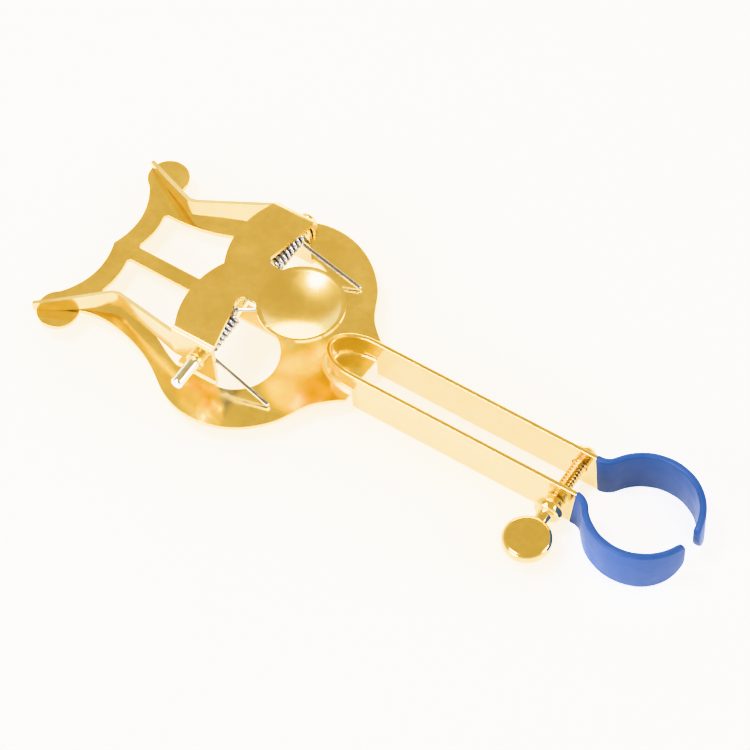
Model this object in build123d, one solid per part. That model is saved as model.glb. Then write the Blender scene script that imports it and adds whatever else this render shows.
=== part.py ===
from build123d import *
from math import asin, atan2, cos, degrees, hypot, radians, sin
import os

# A clamp-on music lyre for a marching player's instrument: a pressed brass lyre with a
# sprung clip that grips the sheet music, and a U-shaped strip clamp with two vinyl-dipped
# jaws closed by a thumbscrew.
#
# Millimetres.  +X runs along the lyre from the music end to the jaws, +Y to the player's
# left of that line, +Z out of the lyre's front.  The origin is on the axis of the jaws,
# level with the front face of the lyre plate.

# lyre plate
SHEET = 1.0                       # sheet gauge of the plate and of the clip
PEAK_X = -150.2                   # middle of the yoke, between the two end discs
DISC = (-150.2, 23.4)             # centre of an end disc
DISC_R = 5.3
BODY = (-105.2, 24.8, 32.1)       # centre x and the two half widths of the oval body
SHOULDER_DEG, HIP_DEG = 120, 45   # where the oval body starts and ends
CUT = (-76.6, 8.7)                # straight cut at the end of the neck: x and half width
BAR_HALF = 2.05                   # half width of the bar between the two windows
WINDOW_END = (-144.5, 13.7)       # outer corner of a window, beside the yoke
WINDOW_OUT = 21.5                 # outer edge of a window where its lug is bent up

# hinge
PIN_X, PIN_Z, PIN_R = -108.2, 11.1, 1.6
PIN_FREE, PIN_FLUSH = -32.0, 24.4     # the pin's long free end and its flush end, in y
LUG = (-116.0, -105.2)            # x of the foot of a lug
LUG_OUT = 21.0                    # outer face of a lug
BEND_IN = 0.5                     # inside radius of every sheet bend
EAR_R = 4.0
EAR_IN = 21.3                     # inner face of the clip's ears and flanges
BUSH_R, BUSH_END = 2.15, 24.5
RUNNING = 0.05                    # radial running clearance

# clip
CLIP_TOP = 16.5                   # top face of the clip's sheet
CLIP_BACK = -115.8                # corner of the sheet above an arm's root
CLIP_FRONT = -104.3
LOBE = (-118.5, 10.4)             # furthest point of each lobe of the back edge
TONGUE_HALF, TONGUE_ROOT = 5.5, -107.8
DISH_X, DISH_R, DISH_HOLLOW_R, DISH_DEEP = -93.9, 10.7, 10.45, 2.4
ARM_PLAN = ((-112.5, 21.8), (-115.7, 21.8), (-137.5, 15.8))
ARM_TIP_X, LEFT_TIP_Y, RIGHT_TIP_Y = -155.3, 24.0, 26.4     # the two arms are bent by hand
ARM_BENDS = (6.0, 5.0)
ARM_TOP, ARM_FOOT = (-136.5, 8.3), (-137.5, 3.0)    # upper and lower edge of an arm at its bend
TIP_GAP = 0.05                    # between an arm's tip and its end disc

# torsion springs
WIRE_R, COIL_R, COIL_TURNS = 0.5, 2.18, 7
KNUCKLE = 0.02                    # swelling of the wire where a leg leaves the coil
COIL_OUT, COIL_IN = 19.2, 8.5     # y of the coil's two ends
LONG_TIP = (-90.8, 19.9, 0.7)     # end of the leg that pushes on the plate
SHORT_TIP = (-101.0, 4.5, 13.9)   # end of the leg that lifts the tongue

# clamp strip and jaws
STRIP, STRIP_HIGH, STRIP_MID_Z = 1.1, 12.7, 0.3
LEG_MID = 5.45                    # centre line of a leg, in y
BOW_LONG = 9.55                   # length of the bow's centre line past its legs
ROOT_X = -76.4                    # where the bow ends and the legs start to bend
FLARE_R = 4.25                    # centre line radius where a leg turns out to its jaw
JAW_R = 12.7                      # inside radius of the dipped jaws
COAT, COAT_EDGE = 0.3, 0.2        # vinyl on the faces, and over the edges
LEFT_JAW_END, RIGHT_JAW_END = 3.0, 18.5
COAT_START = -15.3
TIP_ROUND = (9.0, 2.0)            # lower and upper corner of a jaw's tip
BEAD = 0.7                        # leg of the brazed bead round the bow

# thumbscrew
SCREW_X, SCREW_R = -19.9, 1.85
NUT_R, NUT_LONG, NUT_BORE_R = 3.2, 3.0, 2.15
SCREW_END = 9.7
SHOULDER_Y, SHOULDER_R = -6.35, 2.4
COLLAR_R, COLLAR_Y = 3.5, (-8.0, -10.8)
NECK_R, NECK_WAIST_R = 2.4, 1.3   # beside the collar, and at the paddle's rim
PADDLE_Y, PADDLE_R, PADDLE_THICK, PADDLE_ROUND = -18.7, 6.0, 3.0, 1.3

FRONT = Plane.XZ                  # a sketch here has x across and z up; extrude goes to -y


def mirrored(shape):
    """The shape's mirror image across the lyre's middle plane."""
    return mirror(shape, about=Plane.XZ)


def both(shape):
    """A half together with its mirror image."""
    return shape + mirrored(shape)


def across(sketch, reach=60):
    """Side outline drawn in x and z, made into a solid that spans both sides."""
    return extrude(FRONT * sketch, amount=reach, both=True)


def along_y(radius, y0, y1, x=PIN_X, z=PIN_Z):
    """Round bar parallel to y."""
    low, high = min(y0, y1), max(y0, y1)
    plane = Plane(origin=(x, low, z), z_dir=(0, 1, 0))
    return extrude(plane * Circle(radius), amount=high - low)


def rod(start, end, radius):
    """Round bar between two points."""
    line = Vector(*end) - Vector(*start)
    return extrude(Plane(origin=start, z_dir=line) * Circle(radius), amount=line.length)


def oval(angle):
    """Point of the body's oval outline, and its direction towards the jaws."""
    centre, half_x, half_y = BODY
    turn = radians(angle)
    return (centre + half_x * cos(turn), half_y * sin(turn)), (half_x * sin(turn), -half_y * cos(turn))


def plate_half():
    """Left half of the lyre's outline, without its window."""
    shoulder, into_body = oval(SHOULDER_DEG)
    hip, out_of_body = oval(HIP_DEG)
    disc_left, disc_right = (-154.6, 20.6), (-145.2, 20.9)
    edges = [
        Spline((PEAK_X, 0), (-149.1, 4), (-148.8, 8), (-149.9, 13.5), disc_left),
        Line(disc_left, DISC),
        Line(DISC, disc_right),
        Spline(disc_right, (-137.5, 20.0), (-127.5, 22.2), shoulder, tangents=((1, -0.3), into_body)),
        EllipticalCenterArc((BODY[0], 0), BODY[1], BODY[2], HIP_DEG, arc_size=SHOULDER_DEG - HIP_DEG),
        Spline(hip, (-83.0, 14.2), (-79.4, 10.7), CUT, tangents=(out_of_body, (1, -0.5))),
        Line(CUT, (CUT[0], 0)),
        Line((CUT[0], 0), (PEAK_X, 0)),
    ]
    return make_face(edges) + Pos(*DISC) * Circle(DISC_R)


def window():
    """Left window, from the yoke to its round end beside the neck."""
    bar_far, bar_near = (-144.6, BAR_HALF), (-100.6, BAR_HALF)
    round_end = (LUG[1], WINDOW_OUT)
    lug_back = (LUG[0], WINDOW_OUT)
    edges = [
        Line(bar_far, bar_near),
        ThreePointArc(bar_near, (-95.6, 10.5), round_end),
        Line(round_end, lug_back),
        Spline(lug_back, (-124.0, 17.9), (-133.0, 14.7), WINDOW_END, tangents=((-1, -0.25), (-1, 0))),
        ThreePointArc(WINDOW_END, (-143.6, 8.5), bar_far),
    ]
    opening = make_face(edges)
    corners = [v for v in opening.vertices() if (v.X, v.Y) < (-140, 99) or v.Y < BAR_HALF + 0.1]
    return fillet(corners, 0.9)


def lug():
    """Left hinge lug, bent up from the outer edge of its window."""
    inner = LUG_OUT - SHEET
    bend = LUG_OUT + BEND_IN
    top = PIN_Z + 4
    profile = make_face([
        JernArc((bend, -SHEET), (-1, 0), BEND_IN + SHEET, -90),
        Line((inner, BEND_IN), (inner, top)),
        Line((inner, top), (LUG_OUT, top)),
        Line((LUG_OUT, top), (LUG_OUT, BEND_IN)),
        JernArc((LUG_OUT, BEND_IN), (0, -1), BEND_IN, 90),
        Line((bend, 0), (bend, -SHEET)),
    ])
    bar = extrude(Plane.YZ * profile, amount=LUG[1] - LUG[0]).moved(Location((LUG[0], 0, 0)))
    eye_r = LUG[1] - PIN_X
    foot = Pos((LUG[0] + LUG[1]) / 2, 0) * Rectangle(LUG[1] - LUG[0], 2 * SHEET + 1)
    side = make_hull((Pos(PIN_X, PIN_Z) * Circle(eye_r) + foot).edges())
    return bar & across(side)


def lyre_plate():
    """Pressed plate with its two windows and the two lugs that carry the hinge pin."""
    sheet = extrude(both(plate_half() - window()), amount=-SHEET)
    return sheet + both(lug()) - along_y(PIN_R, -30, 30)


def hinge_pin():
    """Steel pin: a long free end with a rounded nose, and a flush end."""
    pin = along_y(PIN_R, PIN_FREE, PIN_FLUSH)
    nosed = fillet(pin.edges().filter_by(GeomType.CIRCLE).sort_by(Axis.Y)[0], 0.9)
    return chamfer(nosed.edges().filter_by(GeomType.CIRCLE).sort_by(Axis.Y)[-1], 0.3)


def clip_sheet():
    """Flat top of the clip: two lobes behind, a tongue and a round thumb pad in front."""
    fold = EAR_IN - BEND_IN
    half = make_face([
        ThreePointArc((CLIP_BACK - 0.2, 0), LOBE, (CLIP_BACK, fold)),
        Line((CLIP_BACK, fold), (CLIP_FRONT, fold)),
        Line((CLIP_FRONT, fold), (TONGUE_ROOT, TONGUE_HALF)),
        Line((TONGUE_ROOT, TONGUE_HALF), (TONGUE_ROOT, 0)),
        Line((TONGUE_ROOT, 0), (CLIP_BACK - 0.2, 0)),
    ])
    tongue = Pos((TONGUE_ROOT + DISH_X) / 2, 0) * Rectangle(DISH_X - TONGUE_ROOT, 2 * TONGUE_HALF)
    outline = both(half) + tongue + Pos(DISH_X, 0) * Circle(DISH_R)
    roots = [v for v in outline.vertices() if abs(v.X - TONGUE_ROOT) < 0.1 and abs(v.Y) > 1]
    return extrude(fillet(roots, 1.8), amount=SHEET).moved(Location((0, 0, CLIP_TOP - SHEET)))


def dish(extra):
    """Ball whose surface is the thumb pad's hollow, grown by extra."""
    radius = (DISH_HOLLOW_R ** 2 + DISH_DEEP ** 2) / (2 * DISH_DEEP)
    return Pos(DISH_X, 0, CLIP_TOP - DISH_DEEP + radius) * Sphere(radius + extra)


def clip_side():
    """Side outline of a flange, its ear and its arm, in x and z."""
    top, fold = CLIP_TOP - SHEET - BEND_IN, CLIP_BACK
    ear_front = (PIN_X + EAR_R, PIN_Z)
    ear_foot = (PIN_X, PIN_Z - EAR_R)
    tip_top, tip_foot = (-155.9, 2.5), (-155.9, TIP_GAP)
    rest_end = (-148.5, TIP_GAP)
    return make_face([
        Line((ear_front[0], top), (fold, top)),
        Line((fold, top), ARM_TOP),
        Spline(ARM_TOP, tip_top, tangents=((-1, -0.33), (-1, -0.2))),
        Line(tip_top, tip_foot),
        Line(tip_foot, rest_end),
        Spline(rest_end, ARM_FOOT, (-124.0, 5.8), ear_foot, tangents=((1, 0.2), (1, 0.1))),
        CenterArc((PIN_X, PIN_Z), EAR_R, -90, 90),
        Line(ear_front, (ear_front[0], top)),
    ])


def clip_flange():
    """Left flange: the sheet's folded edge and the flat wall below it, before trimming."""
    fold, bend_z = EAR_IN - BEND_IN, CLIP_TOP - SHEET - BEND_IN
    outer = EAR_IN + SHEET
    profile = make_face([
        JernArc((fold, CLIP_TOP), (1, 0), BEND_IN + SHEET, -90),
        Line((outer, bend_z), (outer, 0)),
        Line((outer, 0), (EAR_IN, 0)),
        Line((EAR_IN, 0), (EAR_IN, bend_z)),
        JernArc((EAR_IN, bend_z), (0, 1), BEND_IN, 90),
        Line((fold, bend_z + BEND_IN), (fold, CLIP_TOP)),
    ])
    bar = extrude(Plane.YZ * profile, amount=CLIP_FRONT - CLIP_BACK)
    return bar.moved(Location((CLIP_BACK, 0, 0)))


def clip_arm(tip_y):
    """Arm on the left side: a strip on edge that follows its plan, before trimming to height."""
    path = FilletPolyline(*ARM_PLAN, (ARM_TIP_X, tip_y), radius=ARM_BENDS)
    start = Plane(origin=path @ 0, x_dir=(0, 0, 1), z_dir=path % 0)
    high = 2 * CLIP_TOP
    return sweep(start * Rectangle(high, SHEET), path)


def front_clip():
    """One pressed sheet: top, thumb pad, two flanges with ears, and two long arms."""
    bend_z = CLIP_TOP - SHEET - BEND_IN
    above = Pos(0, 0, bend_z + 25) * Box(400, 100, 50)
    folded = clip_flange()
    side = across(clip_side())
    left, right = ((folded - above + clip_arm(tip_y)) & side for tip_y in (LEFT_TIP_Y, RIGHT_TIP_Y))
    below_sheet = Pos(DISH_X, 0, CLIP_TOP - SHEET - 10) * Box(30, 30, 20)
    pad = dish(SHEET) & below_sheet
    clip = clip_sheet() + both(folded & above) + left + mirrored(right) + pad
    return clip - dish(0) - along_y(BUSH_R, -30, 30)


def hinge_bush():
    """Left eyelet pressed into the clip's ear, which turns on the pin."""
    return along_y(BUSH_R, EAR_IN, BUSH_END) - along_y(PIN_R + RUNNING, EAR_IN - 1, BUSH_END + 1)


def torsion_spring():
    """Left spring: a coil on the pin, a long leg down to the plate, a short leg up to the tongue."""
    reach_x, reach_z = LONG_TIP[0] - PIN_X, LONG_TIP[2] - PIN_Z
    slope = atan2(reach_z, reach_x) + asin(COIL_R / hypot(reach_x, reach_z))
    leave = slope - radians(90)
    lift_x, lift_z = SHORT_TIP[0] - PIN_X, SHORT_TIP[2] - PIN_Z
    rise = atan2(lift_z, lift_x) - asin(COIL_R / hypot(lift_x, lift_z))
    arrive = rise + radians(90)
    turns = COIL_TURNS + degrees(leave - arrive + radians(360)) / 360
    pitch = (COIL_OUT - COIL_IN) / turns

    def on_coil(angle, y):
        return (PIN_X + COIL_R * cos(angle), y, PIN_Z + COIL_R * sin(angle))

    place = Plane(origin=(PIN_X, COIL_OUT, PIN_Z), x_dir=(cos(leave), 0, sin(leave)), z_dir=(0, -1, 0))
    path = place * Helix(pitch, COIL_OUT - COIL_IN, COIL_R, lefthand=True)
    section = Plane(origin=path @ 0, z_dir=path % 0) * Circle(WIRE_R)
    spring = sweep(section, path, is_frenet=True)
    for root, tip in ((on_coil(leave, COIL_OUT), LONG_TIP), (on_coil(arrive, COIL_IN), SHORT_TIP)):
        spring += Pos(*root) * Rot(0, 90, 0) * Sphere(WIRE_R + KNUCKLE)
        spring += rod(root, tip, WIRE_R)
    return spring


def strip_along(path, thick, high):
    """Strip on edge along a flat path."""
    start = Plane(origin=path @ 0, x_dir=(0, 0, 1), z_dir=path % 0)
    return sweep(start * Rectangle(high, thick), path)


def bow_path(z):
    """Centre line of the bow, from one leg round to the other."""
    return Pos(0, 0, z) * EllipticalCenterArc((ROOT_X, 0), BOW_LONG, LEG_MID, 90, arc_size=180)


def clamp_bow():
    """Upper half of the strip's closed end, which stands on the plate."""
    above_plate = STRIP_MID_Z + STRIP_HIGH / 2
    return strip_along(bow_path(above_plate / 2), STRIP, above_plate)


def braze_bead():
    """Brazed fillet between the outside of the bow and the plate."""
    path = bow_path(0)
    outside = STRIP / 2
    start = Plane(origin=path @ 0, x_dir=(0, 1, 0), z_dir=path % 0)
    bead = Polyline((outside, 0), (outside + BEAD, 0), (outside, -BEAD), close=True)
    return sweep(start * make_face(bead), path)


def leg_path(end_angle, start_x=ROOT_X):
    """Centre line of the left leg and its jaw, which ends at end_angle on the jaw circle."""
    centre_r = JAW_R + COAT + STRIP / 2
    flare_x = -((centre_r + FLARE_R) ** 2 - (LEG_MID + FLARE_R) ** 2) ** 0.5
    meet = degrees(atan2(LEG_MID + FLARE_R, flare_x))
    line = Line((start_x, LEG_MID), (flare_x, LEG_MID))
    flare = CenterArc((flare_x, LEG_MID + FLARE_R), FLARE_R, -90, meet - 90)
    jaw = CenterArc((0, 0), centre_r, meet, end_angle - meet)
    return Pos(0, 0, STRIP_MID_Z) * Wire([line, flare, jaw])


def rounded_tip(strip, end_angle, edge=0):
    """The strip with the lower and the upper corner of its jaw's tip rounded off."""
    tip, far = JAW_R * sin(radians(end_angle)), 3 * JAW_R
    low, high = (STRIP_MID_Z + level * (STRIP_HIGH / 2 + edge) for level in (-1, 1))
    rounds = [radius + edge for radius in TIP_ROUND]
    outline = FilletPolyline((far, low), (tip, low), (tip, high), (far, high), radius=rounds)
    front_half = extrude(Plane.YZ * make_face([outline, Line((far, high), (far, low))]), amount=far)
    back_half = Pos(-100, 0, 0) * Box(200, 100, 50)
    return strip & (front_half + back_half)


def left_leg(end_angle):
    """Leg and jaw of the clamp strip, without its screw hole."""
    return rounded_tip(strip_along(leg_path(end_angle), STRIP, STRIP_HIGH), end_angle)


def left_sleeve(end_angle, leg):
    """Vinyl dip round the jaw."""
    past_tip = end_angle - degrees(COAT / JAW_R)
    path = leg_path(past_tip, COAT_START)
    dip = strip_along(path, STRIP + 2 * COAT, STRIP_HIGH + 2 * COAT_EDGE)
    return rounded_tip(dip, past_tip, COAT_EDGE) - leg


def screw_hole(radius):
    return along_y(radius, -8, 8, x=SCREW_X, z=STRIP_MID_Z)


def screw_nut():
    """Round boss riveted to the left leg, threaded for the screw."""
    outside = LEG_MID + STRIP / 2
    body = along_y(NUT_R, outside, outside + NUT_LONG, x=SCREW_X, z=STRIP_MID_Z)
    rim = body.edges().filter_by(GeomType.CIRCLE).sort_by(Axis.Y)[-1]
    return fillet(rim, 0.9) - along_y(NUT_BORE_R, 0, 20, x=SCREW_X, z=STRIP_MID_Z)


def screw_thread():
    """Threaded shank, drawn at the thread's outside."""
    shank = along_y(SCREW_R, SHOULDER_Y, SCREW_END, x=SCREW_X, z=STRIP_MID_Z)
    tip = shank.edges().filter_by(GeomType.CIRCLE).sort_by(Axis.Y)[-1]
    return chamfer(tip, 0.4)


def screw_paddle():
    """Forged head: shoulder, round collar, neck and the flat round paddle."""
    shoulder = along_y(SHOULDER_R, SHOULDER_Y, COLLAR_Y[0], x=SCREW_X, z=STRIP_MID_Z)
    collar = along_y(COLLAR_R, COLLAR_Y[0], COLLAR_Y[1], x=SCREW_X, z=STRIP_MID_Z)
    collar = fillet(collar.edges().filter_by(GeomType.CIRCLE), 1.1)
    neck_end = PADDLE_Y + PADDLE_R - PADDLE_ROUND
    waist = Plane(origin=(SCREW_X, neck_end, STRIP_MID_Z), z_dir=(0, 1, 0)) * Circle(NECK_WAIST_R)
    root = Plane(origin=(SCREW_X, COLLAR_Y[1], STRIP_MID_Z), z_dir=(0, 1, 0)) * Circle(NECK_R)
    neck = loft([waist, root])
    coin = Pos(SCREW_X, PADDLE_Y, STRIP_MID_Z) * Cylinder(PADDLE_R, PADDLE_THICK)
    coin = fillet(coin.edges().filter_by(GeomType.CIRCLE), PADDLE_ROUND)
    return shoulder + collar + neck + coin


def build():
    left, right = left_leg(LEFT_JAW_END), left_leg(RIGHT_JAW_END)
    return {
        "lyre_plate": lyre_plate(),
        "hinge_pin": hinge_pin(),
        "front_clip": front_clip(),
        "hinge_bush_left": hinge_bush(),
        "hinge_bush_right": mirrored(hinge_bush()),
        "torsion_spring_left": torsion_spring(),
        "torsion_spring_right": mirrored(torsion_spring()),
        "clamp_bow": clamp_bow(),
        "braze_bead": braze_bead(),
        "clamp_arm_left": left - screw_hole(NUT_BORE_R),
        "clamp_arm_right": mirrored(right) - screw_hole(SCREW_R + RUNNING),
        "jaw_sleeve_left": left_sleeve(LEFT_JAW_END, left),
        "jaw_sleeve_right": mirrored(left_sleeve(RIGHT_JAW_END, right)),
        "screw_nut": screw_nut(),
        "screw_thread": screw_thread(),
        "screw_paddle": screw_paddle(),
    }


os.makedirs("parts", exist_ok=True)
for name, shape in build().items():
    export_step(shape, f"parts/{name}.step")
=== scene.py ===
"""Studio picture of a clamp-on music lyre: gold-lacquered brass, bright steel and blue vinyl.

The CAD plate and clip stay, with rounded edges. The clamp strip, its vinyl, the springs, the
thumbscrew and the small turned pieces are modelled again here, in the same places.
"""
import bpy
from math import asin, atan2, cos, degrees, hypot, pi, radians, sin, sqrt, tau
from mathutils import Matrix, Vector, noise


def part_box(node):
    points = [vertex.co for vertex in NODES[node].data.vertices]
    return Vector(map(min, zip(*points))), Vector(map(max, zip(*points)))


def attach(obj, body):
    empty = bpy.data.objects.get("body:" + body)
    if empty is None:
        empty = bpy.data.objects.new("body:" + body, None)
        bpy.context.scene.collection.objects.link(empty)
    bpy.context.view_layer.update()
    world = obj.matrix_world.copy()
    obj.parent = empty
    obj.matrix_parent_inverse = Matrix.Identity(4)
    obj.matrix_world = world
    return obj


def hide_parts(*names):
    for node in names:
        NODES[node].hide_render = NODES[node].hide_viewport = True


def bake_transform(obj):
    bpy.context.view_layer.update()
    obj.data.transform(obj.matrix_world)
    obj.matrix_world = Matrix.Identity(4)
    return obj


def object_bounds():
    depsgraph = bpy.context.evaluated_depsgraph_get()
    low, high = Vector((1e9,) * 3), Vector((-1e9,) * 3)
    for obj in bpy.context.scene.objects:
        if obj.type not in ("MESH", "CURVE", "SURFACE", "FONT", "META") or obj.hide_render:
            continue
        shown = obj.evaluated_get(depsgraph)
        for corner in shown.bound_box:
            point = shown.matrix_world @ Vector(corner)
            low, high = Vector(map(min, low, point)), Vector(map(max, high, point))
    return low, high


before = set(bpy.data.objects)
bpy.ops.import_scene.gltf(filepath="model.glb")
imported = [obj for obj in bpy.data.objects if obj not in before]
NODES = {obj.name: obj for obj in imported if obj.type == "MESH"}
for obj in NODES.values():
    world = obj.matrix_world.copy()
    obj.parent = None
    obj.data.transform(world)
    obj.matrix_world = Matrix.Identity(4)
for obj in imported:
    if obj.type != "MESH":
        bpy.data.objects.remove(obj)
cad_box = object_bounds()
MM = 0.001


def box_mm(node):
    """Lowest and highest corner of a CAD node, in millimetres."""
    low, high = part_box(node)
    return low / MM, high / MM


# ---------------------------------------------------------------- sizes, in millimetres
# Side 1 is the left, at positive y, and side -1 is the right.

SIDES = ((1, "left"), (-1, "right"))
SHEET_EDGE = 0.22                            # rounding of the plate's and the clip's edges
AXIS = 0.001                                 # radius of a turned profile's points on its axis

PIN_LOW, PIN_HIGH = box_mm("hinge_pin")
PIN_X, PIN_Z = (PIN_LOW.x + PIN_HIGH.x) / 2, (PIN_LOW.z + PIN_HIGH.z) / 2
PIN_R = (PIN_HIGH.z - PIN_LOW.z) / 2
BUSH_LOW, BUSH_HIGH = box_mm("hinge_bush_left")
BUSH_R = (BUSH_HIGH.z - BUSH_LOW.z) / 2
BUSH_GAP, BUSH_LIP = 0.05, 0.16              # play on the pin, and how far the lip stands out

WIRE_R, COIL_R, COIL_TURNS = 0.5, 2.18, 7
COIL_OUT, COIL_IN = 19.2, 8.5                # y of the coil's two ends
LONG_TIP = Vector((-90.8, 19.9, 0.7))        # end of the leg on the plate
SHORT_TIP = Vector((-101.0, 4.5, 13.9))      # end of the leg under the tongue

BOW_LOW, BOW_HIGH = box_mm("clamp_bow")
ARM_LOW, ARM_HIGH = box_mm("clamp_arm_left")
STRIP = 1.1                                  # thickness of the clamp strip
ROOT_X = BOW_HIGH.x                          # where the bow ends and the legs begin
LEG_MID = BOW_HIGH.y - STRIP / 2             # centre line of a leg, in y
BOW_LONG = ROOT_X - BOW_LOW.x - STRIP / 2    # length of the bow past the legs
STRIP_TOP, STRIP_FOOT = ARM_HIGH.z, ARM_LOW.z
STRIP_MID_Z = (STRIP_TOP + STRIP_FOOT) / 2
STRIP_EDGE = 0.13                            # rounding of the strip's edges
RING_STEPS = 5                               # steps in each corner of a ring across the strip
RING_SIDES = 4 * (RING_STEPS + 1)

SUNK = 0.1                                   # how far bow and braze go below z 0, the plate's face
BEAD_WIDE = {1: 1.5, -1: 1.0}                # widest part of the braze, outside and inside the bow
BEAD_HIGH = 0.85                             # height of the braze, as a share of its width
BEAD_BITE = 0.08                             # how far the braze goes into the strip

SLEEVE_LOW, SLEEVE_HIGH = box_mm("jaw_sleeve_left")
FLARE_R = 4.25                               # centre line radius where a leg turns out
JAW_R = 12.7                                 # inside radius of the vinyl
COAT = 0.3                                   # thickness of the vinyl
CENTRE_R = JAW_R + COAT + STRIP / 2
COAT_START = SLEEVE_LOW.x
JAW_END = {1: 3.0, -1: 18.5}                 # degrees on the jaw circle where each strip ends
COAT_SLANT = {1: -0.8, -1: 1.5}              # how far the dip line leans over the strip's height
COAT_EDGE = 0.62                             # rounding of the vinyl's edges
COAT_LIP, COAT_BLUNT = 0.45, 0.8             # length of the rounding at its dip line and its tip
TIP_FOOT_R, TIP_TOP_R = 9.2, 2.2             # corners of a jaw's tip

THREAD_LOW, THREAD_HIGH = box_mm("screw_thread")
SCREW_X, SCREW_R = (THREAD_LOW.x + THREAD_HIGH.x) / 2, (THREAD_HIGH.x - THREAD_LOW.x) / 2
PITCH, THREAD_DEPTH = 0.9, 0.48
RUN_OUT = 0.5                                # length in which the thread fades at the shoulder
CHAMFER_LONG, CHAMFER_DEEP = 0.5, 0.4        # the shank's tip
PADDLE_LOW, PADDLE_HIGH = box_mm("screw_paddle")
SHOULDER_R, COLLAR_R = 2.4, 3.5
NECK_ROOT_R, NECK_R, NECK_END_R = 1.9, 1.45, 1.7
COIN_R, COIN_THICK, COIN_ROUND = (PADDLE_HIGH.x - PADDLE_LOW.x) / 2, 3.0, 1.2
NUT_LOW, NUT_HIGH = box_mm("screw_nut")
BORE = {1: 2.15, -1: 1.9}                    # radius of the hole for the screw in each leg


# ---------------------------------------------------------------- mesh helpers

def show(thing):
    """Puts a new object into the scene."""
    bpy.context.scene.collection.objects.link(thing)


def unit(value):
    """A value kept between 0 and 1."""
    return min(max(value, 0.0), 1.0)


def bare_mesh(name, points, faces):
    """A mesh from points in millimetres."""
    mesh = bpy.data.meshes.new(name)
    mesh.from_pydata([Vector(point) * MM for point in points], [], faces)
    return mesh


def sharpen(mesh):
    """Marks the edges where a mesh's faces meet steeply, so that they don't shade smooth."""
    mesh.set_sharp_from_angle(angle=radians(50))


def add_mesh(name, points, faces, body, slot, material):
    """A smooth piece from points in millimetres, riding on a body if one is given."""
    mesh = bare_mesh(name, points, faces)
    mesh.validate()
    mesh.shade_smooth()
    sharpen(mesh)
    piece = bpy.data.objects.new(name, mesh)
    show(piece)
    mesh.materials.append(material)
    if body:
        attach(piece, body)
    return piece


def even_normals(piece, keep_sharp=True):
    """Keeps large flat faces flat to the eye beside their rounded edges."""
    normals = piece.modifiers.new("normals", "WEIGHTED_NORMAL")
    normals.weight = 90
    normals.keep_sharp = keep_sharp


def ring_faces(rings, sides, loop=False):
    """Quads between successive rings of points; loop joins the last ring to the first."""
    faces = []
    for ring in range(rings if loop else rings - 1):
        here, there = ring * sides, (ring + 1) % rings * sides
        for side in range(sides):
            after = (side + 1) % sides
            faces.append((here + side, here + after, there + after, there + side))
    return faces


def capped(rings, sides):
    """Ring faces closed by a flat face at both ends."""
    last = (rings - 1) * sides
    ends = [tuple(range(sides))[::-1], tuple(range(last, last + sides))]
    return ring_faces(rings, sides) + ends


def rounded_profile(corners, steps=6):
    """A closed outline whose corners, given as (x, y, radius), are turned into arcs."""
    points = []
    for index, (x, y, radius) in enumerate(corners):
        corner = Vector((x, y))
        if radius == 0:
            points.append(corner)
            continue
        before = (Vector(corners[index - 1][:2]) - corner).normalized()
        after = (Vector(corners[(index + 1) % len(corners)][:2]) - corner).normalized()
        half = before.angle(after) / 2
        centre = corner + (before + after).normalized() * radius / sin(half)
        reach = radius * cos(half) / sin(half)
        start, end = corner + before * reach - centre, corner + after * reach - centre
        points += [centre + start.slerp(end, step / steps) * radius for step in range(steps + 1)]
    return points


def turned(profile, place, sides=96):
    """Points and faces of a piece turned from (radius, height) pairs; place sets a point.

    A profile that stays clear of the axis closes into a ring, and any other is capped.
    """
    points = [place(radius * cos(tau * side / sides), radius * sin(tau * side / sides), height)
              for radius, height in profile for side in range(sides)]
    if min(radius for radius, height in profile) > 2 * AXIS:
        return points, ring_faces(len(profile), sides, loop=True)
    return points, capped(len(profile), sides)


def about_y(x, z):
    """Places turned points about an axis along y."""
    return lambda across, up, along: (x + across, along, z - up)


def about_z(x, y, z):
    """Places turned points about an axis along z, their heights counted from a point on it."""
    return lambda across, up, along: (x + across, y + up, z + along)


def tube(path, radii, sides):
    """Points and faces of a round wire along a path, turned no more than the path turns."""
    last = len(path) - 1
    normal = (path[1] - path[0]).orthogonal().normalized()
    points = []
    for index, (place, radius) in enumerate(zip(path, radii)):
        tangent = (path[min(index + 1, last)] - path[max(index - 1, 0)]).normalized()
        normal = (normal - tangent * normal.dot(tangent)).normalized()
        aside = tangent.cross(normal)
        points += [place + (normal * cos(tau * side / sides) + aside * sin(tau * side / sides)) * radius
                   for side in range(sides)]
    return points, capped(len(path), sides)


def combine(piece, tool, operation):
    """Cuts or joins a piece with a tool, which is then thrown away."""
    boolean = piece.modifiers.new("combine", "BOOLEAN")
    boolean.operation, boolean.solver, boolean.object = operation, "EXACT", tool
    mesh = bpy.data.meshes.new_from_object(piece.evaluated_get(bpy.context.evaluated_depsgraph_get()))
    piece.modifiers.remove(boolean)
    piece.data = mesh
    bpy.data.objects.remove(tool)
    sharpen(mesh)


def plain_tool(points, faces):
    """A bare closed mesh for combine."""
    tool = bpy.data.objects.new("tool", bare_mesh("tool", points, faces))
    show(tool)
    return tool


# ---------------------------------------------------------------- materials

def node_adder(tree):
    """A function that adds a shader node to a tree, with its links and values."""
    def add(kind, links=None, **values):
        node = tree.nodes.new("ShaderNode" + kind)
        for key, value in values.items():
            if hasattr(node, key):
                setattr(node, key, value)
            else:
                node.inputs[key.replace("_", " ").title()].default_value = value
        for socket, source in (links or {}).items():
            tree.links.new(source, node.inputs[socket])
        return node

    return add


def shader(name):
    """An empty material, its Principled shader, and functions that add and link nodes."""
    material = bpy.data.materials.new(name)
    material.use_nodes = True
    tree = material.node_tree
    return material, tree.nodes["Principled BSDF"], node_adder(tree), tree.links.new


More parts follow.
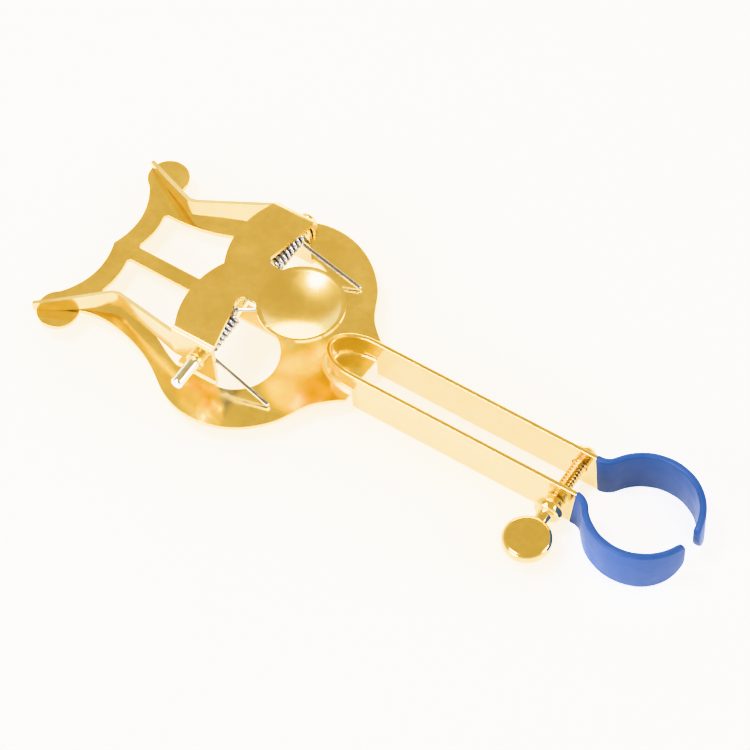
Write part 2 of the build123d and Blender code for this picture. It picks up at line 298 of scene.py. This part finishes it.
def ramp(add, source, stops):
    """A colour ramp over a grey source, from (position, colour) stops."""
    node = add("ValToRGB", {"Fac": source})
    elements = node.color_ramp.elements
    while len(elements) < len(stops):
        elements.new(0.5)
    for element, (position, colour) in zip(elements, stops):
        element.position = position
        element.color = (*colour, 1)
    return node.outputs["Color"]


def grey(value):
    """A colour with no hue."""
    return (value, value, value)


def metal(name, light, dark, rough, waves, grain, coat=0.0):
    """Polished metal: cloudy colour, uneven polish, slow waves and fine grain, both in metres."""
    material, principled, add, link = shader(name)
    place = add("TexCoord").outputs["Object"]
    cloud = add("TexNoise", {"Vector": place}, scale=95.0, detail=5.0, roughness=0.6)
    stain = add("TexNoise", {"Vector": place}, scale=520.0, detail=4.0, roughness=0.55)
    mixed = add("Math", {0: cloud.outputs["Fac"], 1: stain.outputs["Fac"]}, operation="MULTIPLY")
    link(ramp(add, mixed.outputs[0], [(0.16, dark), (0.36, light)]), principled.inputs["Base Color"])
    link(ramp(add, cloud.outputs["Fac"], [(0.3, grey(rough[0])), (0.7, grey(rough[1]))]),
         principled.inputs["Roughness"])
    slow = add("TexNoise", {"Vector": place}, scale=130.0, detail=1.0)
    fine = add("TexNoise", {"Vector": place}, scale=2600.0, detail=3.0)
    soft = add("Bump", {"Height": slow.outputs["Fac"]}, strength=1.0, distance=waves)
    bump = add("Bump", {"Height": fine.outputs["Fac"], "Normal": soft.outputs["Normal"]},
               strength=1.0, distance=grain)
    link(bump.outputs["Normal"], principled.inputs["Normal"])
    principled.inputs["Metallic"].default_value = 1.0
    principled.inputs["Coat Weight"].default_value = coat
    principled.inputs["Coat Roughness"].default_value = 0.06
    return material


def vinyl(name, light, dark):
    """Dipped soft vinyl: satin, with an even skin and faint clouds in its colour."""
    material, principled, add, link = shader(name)
    place = add("TexCoord").outputs["Object"]
    cloud = add("TexNoise", {"Vector": place}, scale=160.0, detail=4.0)
    link(ramp(add, cloud.outputs["Fac"], [(0.3, dark), (0.7, light)]), principled.inputs["Base Color"])
    link(ramp(add, cloud.outputs["Fac"], [(0.3, grey(0.38)), (0.7, grey(0.50))]),
         principled.inputs["Roughness"])
    skin = add("TexNoise", {"Vector": place}, scale=1500.0, detail=2.0)
    sag = add("TexNoise", {"Vector": place}, scale=240.0, detail=1.0)
    soft = add("Bump", {"Height": sag.outputs["Fac"]}, strength=1.0, distance=0.00012)
    bump = add("Bump", {"Height": skin.outputs["Fac"], "Normal": soft.outputs["Normal"]},
               strength=0.6, distance=0.00002)
    link(bump.outputs["Normal"], principled.inputs["Normal"])
    principled.inputs["Specular IOR Level"].default_value = 0.22
    return material


GOLD = metal("gold_lacquer", (0.96, 0.80, 0.44), (0.92, 0.74, 0.38), rough=(0.13, 0.20),
             waves=0.00005, grain=0.0000022, coat=0.5)
BRAZE = metal("braze", (0.95, 0.80, 0.46), (0.88, 0.69, 0.36), rough=(0.20, 0.30),
              waves=0.00008, grain=0.000006, coat=0.5)
SCREW_BRASS = metal("screw_brass", (0.96, 0.80, 0.44), (0.91, 0.73, 0.37), rough=(0.08, 0.14),
                    waves=0.00004, grain=0.0000015, coat=0.5)
THREAD_BRASS = metal("thread_brass", (0.84, 0.62, 0.27), (0.66, 0.45, 0.17), rough=(0.12, 0.20),
                     waves=0.00003, grain=0.000002, coat=0.3)
STEEL = metal("bright_steel", (0.80, 0.81, 0.84), (0.60, 0.61, 0.65), rough=(0.10, 0.18),
              waves=0.00003, grain=0.0000025)
WIRE = metal("spring_steel", (0.48, 0.48, 0.50), (0.32, 0.32, 0.34), rough=(0.14, 0.26),
             waves=0.00003, grain=0.000003)
VINYL = vinyl("blue_vinyl", (0.022, 0.060, 0.192), (0.017, 0.051, 0.172))


# ---------------------------------------------------------------- plate and clip

def smooth_group():
    """Geometry nodes that shade every face smooth."""
    group = bpy.data.node_groups.new("shade_smooth", "GeometryNodeTree")
    group.interface.new_socket("Geometry", in_out="INPUT", socket_type="NodeSocketGeometry")
    group.interface.new_socket("Geometry", in_out="OUTPUT", socket_type="NodeSocketGeometry")
    source, smooth, sink = (group.nodes.new(kind) for kind in
                            ("NodeGroupInput", "GeometryNodeSetShadeSmooth", "NodeGroupOutput"))
    group.links.new(source.outputs[0], smooth.inputs[0])
    group.links.new(smooth.outputs[0], sink.inputs[0])
    return group


SMOOTH = smooth_group()


def pressed_sheet(node, width, material):
    """Gives a CAD node its material and rounds its edges for the eye, leaving its mesh alone."""
    piece = NODES[node]
    weld = piece.modifiers.new("weld", "WELD")
    weld.merge_threshold = 0.002 * MM
    flat = piece.modifiers.new("flat", "DECIMATE")
    flat.decimate_type = "DISSOLVE"
    flat.angle_limit = radians(0.3)
    bevel = piece.modifiers.new("round", "BEVEL")
    bevel.width = width * MM
    bevel.segments = 3
    bevel.limit_method = "ANGLE"
    bevel.angle_limit = radians(40)
    smooth = piece.modifiers.new("smooth", "NODES")
    smooth.node_group = SMOOTH
    even_normals(piece, keep_sharp=False)
    piece.data.materials.clear()
    piece.data.materials.append(material)


# ---------------------------------------------------------------- clamp strip and vinyl

def strip_ring(place, normal, half, foot, top, corner):
    """A rounded oblong across the strip: half its thickness each side, from foot to top.

    The corners' radius is kept under what the oblong has room for.
    """
    corner = min(corner, half * 0.98, (top - foot) * 0.49)
    outline = rounded_profile([(half, foot, corner), (half, top, corner), (-half, top, corner),
                               (-half, foot, corner)], steps=RING_STEPS)
    return [(place.x + normal.x * out, place.y + normal.y * out, z) for out, z in outline]


def bow_place(angle):
    """Place and outward normal on the bow's centre line, an ellipse about the legs' roots."""
    place = Vector((ROOT_X + BOW_LONG * cos(angle), LEG_MID * sin(angle)))
    return place, Vector((cos(angle) / BOW_LONG, sin(angle) / LEG_MID)).normalized()


def leg_plan(side, end_angle, start_x):
    """Centre line of a leg and its jaw as (place, outward normal), in short steps."""
    step = 0.4
    flare_y = LEG_MID + FLARE_R
    flare_x = -sqrt((CENTRE_R + FLARE_R) ** 2 - flare_y ** 2)
    meet = atan2(flare_y, flare_x)
    plan = []
    count = max(2, int((flare_x - start_x) / step))
    for index in range(count):
        plan.append((start_x + (flare_x - start_x) * index / count, LEG_MID, pi / 2))
    turn = meet - pi / 2
    count = int(FLARE_R * turn / step * 2)
    for index in range(count):
        angle = -pi / 2 + turn * index / count
        plan.append((flare_x + FLARE_R * cos(angle), flare_y + FLARE_R * sin(angle), angle + pi))
    sweep = meet - radians(end_angle)
    count = int(CENTRE_R * sweep / step)
    for index in range(count + 1):
        angle = meet - sweep * index / count
        plan.append((CENTRE_R * cos(angle), CENTRE_R * sin(angle), angle))
    return [(Vector((x, side * y)), Vector((cos(facing), side * sin(facing)))) for x, y, facing in plan]


def plan_lengths(plan):
    """Distance of each place in a plan from its first."""
    lengths = [0.0]
    for before, after in zip(plan, plan[1:]):
        lengths.append(lengths[-1] + (after[0] - before[0]).length)
    return lengths


def place_along(plan, lengths, stop):
    """Place and outward normal at a distance along a plan."""
    index = min(max(sum(1 for length in lengths if length <= stop), 1), len(plan) - 1)
    share = (stop - lengths[index - 1]) / max(lengths[index] - lengths[index - 1], 1e-6)
    place = plan[index - 1][0].lerp(plan[index][0], share)
    return place, plan[index - 1][1].lerp(plan[index][1], share).normalized()


def tip_levels(place, tip_y, foot, top):
    """Lower and upper edge of a jaw at a place, with the two corners of its tip rounded."""
    if place.x < 0:
        return foot, top
    past = max(abs(place.y) - tip_y, 0.0)
    lift, drop = (radius - sqrt(radius ** 2 - max(radius - past, 0) ** 2)
                  for radius in (TIP_FOOT_R, TIP_TOP_R))
    return foot + lift, top - drop


def clamp_bow():
    """Closed end of the strip, standing on the plate."""
    points, count = [], 48
    for index in range(count + 1):
        place, normal = bow_place(pi / 2 + pi * index / count)
        points += strip_ring(place, normal, STRIP / 2, -SUNK, STRIP_TOP, STRIP_EDGE)
    piece = add_mesh("clamp_bow_strip", points, capped(count + 1, RING_SIDES), "root", "gold_lacquer", GOLD)
    even_normals(piece)
    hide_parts("clamp_bow")


def clamp_leg(side, word, body):
    """A leg and the metal of its jaw, with the hole for the screw."""
    plan = leg_plan(side, JAW_END[side], ROOT_X)
    tip_y = JAW_R * sin(radians(JAW_END[side]))
    points = []
    for place, normal in plan:
        foot, top = tip_levels(place, tip_y, STRIP_FOOT, STRIP_TOP)
        points += strip_ring(place, normal, STRIP / 2, foot, top, STRIP_EDGE)
    piece = add_mesh("clamp_leg_" + word, points, capped(len(plan), RING_SIDES), body, "gold_lacquer", GOLD)
    bore, reach = BORE[side], 12
    drill = rounded_profile([(AXIS, -reach, 0), (bore, -reach, 0), (bore, reach, 0), (AXIS, reach, 0)])
    combine(piece, plain_tool(*turned(drill, about_y(SCREW_X, STRIP_MID_Z), sides=48)), "DIFFERENCE")
    even_normals(piece)
    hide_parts("clamp_arm_" + word)


def sleeve_stops(whole):
    """Distances along the vinyl for its rings, closer together at its lip and its tip."""
    lip_steps, jaw_steps, tip_steps = 6, 110, 9
    stops = [COAT_LIP * (1 - cos(pi / 2 * step / lip_steps)) for step in range(lip_steps)]
    stops += [COAT_LIP + (whole - COAT_LIP - COAT_BLUNT) * step / jaw_steps for step in range(jaw_steps)]
    stops += [whole - COAT_BLUNT + COAT_BLUNT * sin(pi / 2 * step / tip_steps)
              for step in range(tip_steps + 1)]
    return stops


def jaw_sleeve(side, word, body):
    """Soft vinyl dip over a jaw: a leaning, slightly uneven dip line and a blunt, rounded tip."""
    end_angle = JAW_END[side] - degrees(COAT / JAW_R)
    tip_y = JAW_R * sin(radians(end_angle))
    plan = leg_plan(side, end_angle, COAT_START)
    middle, height = (SLEEVE_LOW.z + SLEEVE_HIGH.z) / 2, SLEEVE_HIGH.z - SLEEVE_LOW.z
    lengths = plan_lengths(plan)
    whole = lengths[-1]
    lean_reach, bluntness = 3.0, 3.2
    lip_share, tip_share, tip_shrink = 0.3, 0.03, 0.35
    stops = sleeve_stops(whole)
    points = []
    for stop in stops:
        place, normal = place_along(plan, lengths, stop)
        along = Vector((normal.y, -normal.x)) * side
        rise = sqrt(1 - (1 - unit(stop / COAT_LIP)) ** 2)
        close = unit(1 - (whole - stop) / COAT_BLUNT)
        half = STRIP / 2 + COAT * (lip_share + (1 - lip_share) * rise)
        half *= (1 - close ** bluntness) ** (1 / bluntness) * (1 - tip_share) + tip_share
        swell = 0.05 * noise.noise(Vector((stop * 0.35, side * 7.0, 0)))
        foot, top = tip_levels(place, tip_y, SLEEVE_LOW.z, SLEEVE_HIGH.z)
        shrink = tip_shrink * close ** 2
        fade = unit(1 - stop / lean_reach) ** 2
        for x, y, z in strip_ring(place, normal, half + swell, foot + shrink, top - shrink, COAT_EDGE):
            lean = COAT_SLANT[side] * (z - middle) / height
            wave = 0.16 * noise.noise(Vector((z * 0.45, side * 3.0, 1.0)))
            shift = along * (lean + wave) * fade
            points.append((x + shift.x, y + shift.y, z))
    piece = add_mesh("vinyl_dip_" + word, points, capped(len(stops), RING_SIDES), body, "blue_vinyl", VINYL)
    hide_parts("jaw_sleeve_" + word)


def fillet_section(wide, high, steps):
    """Outline of a concave fillet as (distance from the strip, z)."""
    section = [(0.0, -SUNK), (wide + BEAD_BITE, -SUNK)]
    for step in range(steps + 1):
        turn = pi / 2 * step / steps
        section.append((BEAD_BITE + wide * (1 - sin(turn)), high * (1 - cos(turn))))
    return section + [(0.0, high)]


def braze_bead():
    """Concave brazed fillets outside and inside the bow, a little uneven as brazing is."""
    points, faces, count, steps = [], [], 60, 12
    for out, widest in BEAD_WIDE.items():
        first = len(points)
        for index in range(count + 1):
            angle = pi / 2 + pi * index / count
            place, normal = bow_place(angle)
            edge = normal * out
            face = place + edge * (STRIP / 2 - BEAD_BITE)
            uneven = 1 + 0.18 * noise.noise(Vector((angle * 2.3, out * 3.0, 5.0)))
            wide = widest * (0.55 + 0.45 * sin(angle - pi / 2)) * uneven
            section = fillet_section(wide, BEAD_HIGH * wide, steps)
            points += [(face.x + edge.x * across, face.y + edge.y * across, z) for across, z in section]
        for quad in capped(count + 1, len(section)):
            faces.append(tuple(corner + first for corner in quad[::out]))
    piece = add_mesh("braze_fillet", points, faces, "root", "braze", BRAZE)
    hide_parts("braze_bead")


# ---------------------------------------------------------------- hinge and springs

def hinge_pin():
    """Turned steel pin with a rounded nose at its free end."""
    profile = rounded_profile([(AXIS, PIN_LOW.y, 0), (PIN_R, PIN_LOW.y, 0.85), (PIN_R, PIN_HIGH.y, 0.3),
                               (AXIS, PIN_HIGH.y, 0)], steps=12)
    piece = add_mesh("steel_pin", *turned(profile, about_y(PIN_X, PIN_Z)), "root", "bright_steel", STEEL)
    even_normals(piece)
    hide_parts("hinge_pin")


def hinge_bush(side, word):
    """Eyelet through the clip's ear, with a rolled outer lip."""
    inner, rim = PIN_R + BUSH_GAP, BUSH_R + BUSH_LIP
    inside, outside = BUSH_LOW.y, BUSH_HIGH.y
    rim_end, barrel_end = outside - 0.75, outside - 1.1
    corners = [(inner, inside, 0.1), (inner, outside, 0.2), (rim, outside, 0.2), (rim, rim_end, 0.25),
               (BUSH_R, barrel_end, 0.2), (BUSH_R, inside, 0.1)]
    profile = [(radius, side * y) for radius, y in rounded_profile(corners, steps=5)]
    if side > 0:
        profile.reverse()
    piece = add_mesh("eyelet_" + word, *turned(profile, about_y(PIN_X, PIN_Z)), "clip", "gold_lacquer", GOLD)
    even_normals(piece)
    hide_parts("hinge_bush_" + word)


def torsion_spring(side, word):
    """Coil on the pin, a long leg down to the plate and a short leg up to the tongue."""
    axis = Vector((PIN_X, 0, PIN_Z))
    reach, lift = LONG_TIP - axis, SHORT_TIP - axis
    leave = atan2(reach.z, reach.x) + asin(COIL_R / hypot(reach.x, reach.z)) - pi / 2
    arrive = atan2(lift.z, lift.x) - asin(COIL_R / hypot(lift.x, lift.z)) + pi / 2
    winding = COIL_TURNS * tau + (leave - arrive) % tau
    coil = []
    count = COIL_TURNS * 28
    for index in range(count + 1):
        share = index / count
        angle = leave - winding * share
        radius = COIL_R + 0.02 * noise.noise(Vector((share * 9.0, side * 4.0, 0)))
        y = COIL_OUT + (COIL_IN - COIL_OUT) * share
        coil.append(Vector((PIN_X + radius * cos(angle), y, PIN_Z + radius * sin(angle))))
    first = [LONG_TIP.lerp(coil[0], share) for share in (0, 0.01, 0.03, 0.3, 0.6, 0.9, 0.97)]
    last = [coil[-1].lerp(SHORT_TIP, share) for share in (0.03, 0.1, 0.4, 0.7, 0.97, 0.99, 1)]
    path = [Vector((point.x, side * point.y, point.z)) for point in first + coil + last]
    cut_end = [WIRE_R * 0.8, WIRE_R * 0.95]
    radii = cut_end + [WIRE_R] * (len(path) - 2 * len(cut_end)) + cut_end[::-1]
    piece = add_mesh("spring_wire_" + word, *tube(path, radii, sides=14), None, "spring_steel", WIRE)
    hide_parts("torsion_spring_" + word)
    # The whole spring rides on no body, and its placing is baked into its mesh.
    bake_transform(piece)


# ---------------------------------------------------------------- thumbscrew

def thread_radius(turn, height):
    """Radius of the shank where the thread has made so many turns, at a height along y."""
    start, end = THREAD_LOW.y, THREAD_HIGH.y
    slope, crest_flat = 1.25, 0.08
    crest = abs(turn % 1 - 0.5) * 2
    groove = THREAD_DEPTH * unit(slope * (1 - crest) - crest_flat) * unit((height - start) / RUN_OUT)
    chamfer = CHAMFER_DEEP * unit(1 - (end - height) / CHAMFER_LONG)
    return SCREW_R - max(groove, chamfer)


def screw_thread():
    """Cut thread that fades out at the shoulder, on a shank with a chamfered tip."""
    sides, rows = 48, 10
    start, end = THREAD_LOW.y, THREAD_HIGH.y
    last_row = (int((end - start) / PITCH) + 2) * rows
    place = about_y(SCREW_X, STRIP_MID_Z)
    points = []
    for row in range(last_row + 1):
        for side in range(sides):
            height = start - PITCH + PITCH * (row / rows + side / sides)
            radius = thread_radius(row / rows, height)
            angle = tau * side / sides
            points.append(place(radius * cos(angle), radius * sin(angle), min(max(height, start), end)))
    faces = []
    for row in range(last_row):
        for side in range(sides):
            here = row * sides + side
            if side < sides - 1:
                faces.append((here, here + 1, here + 1 + sides, here + sides))
            elif row + 1 + rows <= last_row:
                next_turn = (row + rows) * sides
                faces.append((here, next_turn, next_turn + sides, here + sides))
    piece = add_mesh("cut_thread", points, faces, "thumbscrew", "screw_brass", THREAD_BRASS)
    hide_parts("screw_thread")


def screw_paddle():
    """Forged head: shoulder, round collar, a neck that fans out, and the thick round coin."""
    shoulder_y, coin_y = PADDLE_HIGH.y, PADDLE_LOW.y + COIN_R
    shoulder_end, collar_start, collar_end = shoulder_y - 1.5, shoulder_y - 1.75, shoulder_y - 4.45
    neck_y, neck_end = shoulder_y - 7.0, coin_y + 2.0
    outline = rounded_profile([(AXIS, shoulder_y, 0), (SHOULDER_R, shoulder_y, 0.2),
                               (SHOULDER_R, shoulder_end, 0.25), (COLLAR_R, collar_start, 1.2),
                               (COLLAR_R, collar_end, 1.2), (NECK_ROOT_R, collar_end, 0.25),
                               (NECK_R, neck_y, 1.2), (NECK_END_R, neck_end, 0.5), (AXIS, neck_end, 0)],
                              steps=8)
    fan_start = shoulder_y - 4.5
    sides = 64
    points = []
    for radius, y in outline:
        fan = unit((fan_start - y) / (fan_start - neck_end))
        wide, tall = radius * (1 + 0.75 * fan * fan), radius * (1 - 0.35 * fan)
        for side in range(sides):
            angle = tau * side / sides
            points.append((SCREW_X + wide * cos(angle), y, STRIP_MID_Z - tall * sin(angle)))
    faces = [face[::-1] for face in capped(len(outline), sides)]
    piece = add_mesh("forged_head", points, faces, "thumbscrew", "screw_brass", SCREW_BRASS)
    half = COIN_THICK / 2
    coin = rounded_profile([(AXIS, -half, 0), (COIN_R, -half, COIN_ROUND), (COIN_R, half, COIN_ROUND),
                            (AXIS, half, 0)], steps=12)
    combine(piece, plain_tool(*turned(coin, about_z(SCREW_X, coin_y, STRIP_MID_Z))), "UNION")
    even_normals(piece)
    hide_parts("screw_paddle")


def screw_nut():
    """Round riveted boss with a domed rim."""
    inner, outer = BORE[1], (NUT_HIGH.x - NUT_LOW.x) / 2
    corners = [(inner, NUT_LOW.y, 0), (outer, NUT_LOW.y, 0.1), (outer, NUT_HIGH.y, 1.0),
               (inner, NUT_HIGH.y, 0.25)]
    profile = rounded_profile(corners, steps=8)
    piece = add_mesh("round_nut", *turned(profile, about_y(SCREW_X, STRIP_MID_Z)), "left_arm",
                     "gold_lacquer", GOLD)
    even_normals(piece)
    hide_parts("screw_nut")


# ---------------------------------------------------------------- camera, floor and light

def camera():
    """The lyre seen from above its near side, jaws to the lower right, as through a long lens."""
    data = bpy.data.cameras.new("camera")
    data.lens, data.sensor_width = 155.5, 36
    data.clip_start, data.clip_end = 0.05, 20
    viewer = bpy.data.objects.new("camera", data)
    right = Vector((0.83764, 0.54530, -0.03166))      # directions of the picture's right and down
    down = Vector((0.43966, -0.70748, -0.55333))
    turn = Matrix((right, -down, -right.cross(down))).transposed()
    viewer.matrix_world = Matrix.Translation(Vector((175.6, -345.7, 642.0)) * MM) @ turn.to_4x4()
    show(viewer)
    bpy.context.scene.camera = viewer


def studio_floor():
    """White light table under the lyre, which rests on the lower edges of its clamp."""
    half = 4.0
    level = cad_box[0][2]
    mesh = bpy.data.meshes.new("floor")
    mesh.from_pydata([(-half, -half, level), (half, -half, level), (half, half, level), (-half, half, level)],
                     [], [(0, 1, 2, 3)])
    piece = bpy.data.objects.new("floor", mesh)
    show(piece)
    material, principled, add, link = shader("light_table")
    place = add("TexCoord").outputs["Object"]
    cloud = add("TexNoise", {"Vector": place}, scale=30.0, detail=3.0)
    link(ramp(add, cloud.outputs["Fac"], [(0.3, (0.66, 0.67, 0.70)), (0.7, (0.68, 0.69, 0.72))]),
         principled.inputs["Base Color"])
    principled.inputs["Roughness"].default_value = 0.8
    principled.inputs["Emission Color"].default_value = (*grey(1), 1)
    principled.inputs["Emission Strength"].default_value = 1.1
    mesh.materials.append(material)


def studio_world():
    """A room with white walls under a dimmer, warm ceiling."""
    world = bpy.data.worlds.new("studio")
    bpy.context.scene.world = world
    world.use_nodes = True
    tree = world.node_tree
    add = node_adder(tree)
    strength = 4.0
    stops = ((0.0, grey(1.15)), (0.42, grey(1.0)), (0.60, (0.76, 0.585, 0.262)), (1.0, (0.70, 0.537, 0.230)))
    split = add("SeparateXYZ", {"Vector": add("TexCoord").outputs["Generated"]})
    bands = ramp(add, split.outputs["Z"],
                 [(height, [level / strength for level in colour]) for height, colour in stops])
    background = tree.nodes["Background"]
    tree.links.new(bands, background.inputs["Color"])
    background.inputs["Strength"].default_value = strength


def softbox(name, place, size, power):
    """A round soft light that looks at the middle of the lyre."""
    data = bpy.data.lights.new(name, "AREA")
    data.shape = "DISK"
    data.size = size
    data.energy = power
    light = bpy.data.objects.new(name, data)
    target = Vector((-0.07, 0, 0))
    light.location = place
    light.rotation_euler = (Vector(place) - target).to_track_quat("Z", "Y").to_euler()
    show(light)


for node in ("lyre_plate", "front_clip"):
    pressed_sheet(node, SHEET_EDGE, GOLD)
clamp_bow()
for side, word in SIDES:
    clamp_leg(side, word, word + "_arm")
for side, word in SIDES:
    jaw_sleeve(side, word, word + "_arm")
braze_bead()
hinge_pin()
for side, word in SIDES:
    hinge_bush(side, word)
    torsion_spring(side, word)
screw_thread()
screw_paddle()
screw_nut()

camera()
studio_floor()
studio_world()
softbox("overhead", (-0.38, -0.19, 1.0), 0.28, 12.0)
softbox("front_left", (-0.45, -1.1, 0.6), 0.8, 27.0)
softbox("right", (1.2, 0.5, 0.8), 0.8, 24.0)
softbox("back_left", (-0.8, 1.1, 0.45), 0.8, 16.0)
bpy.context.scene.view_settings.view_transform = "Khronos PBR Neutral"
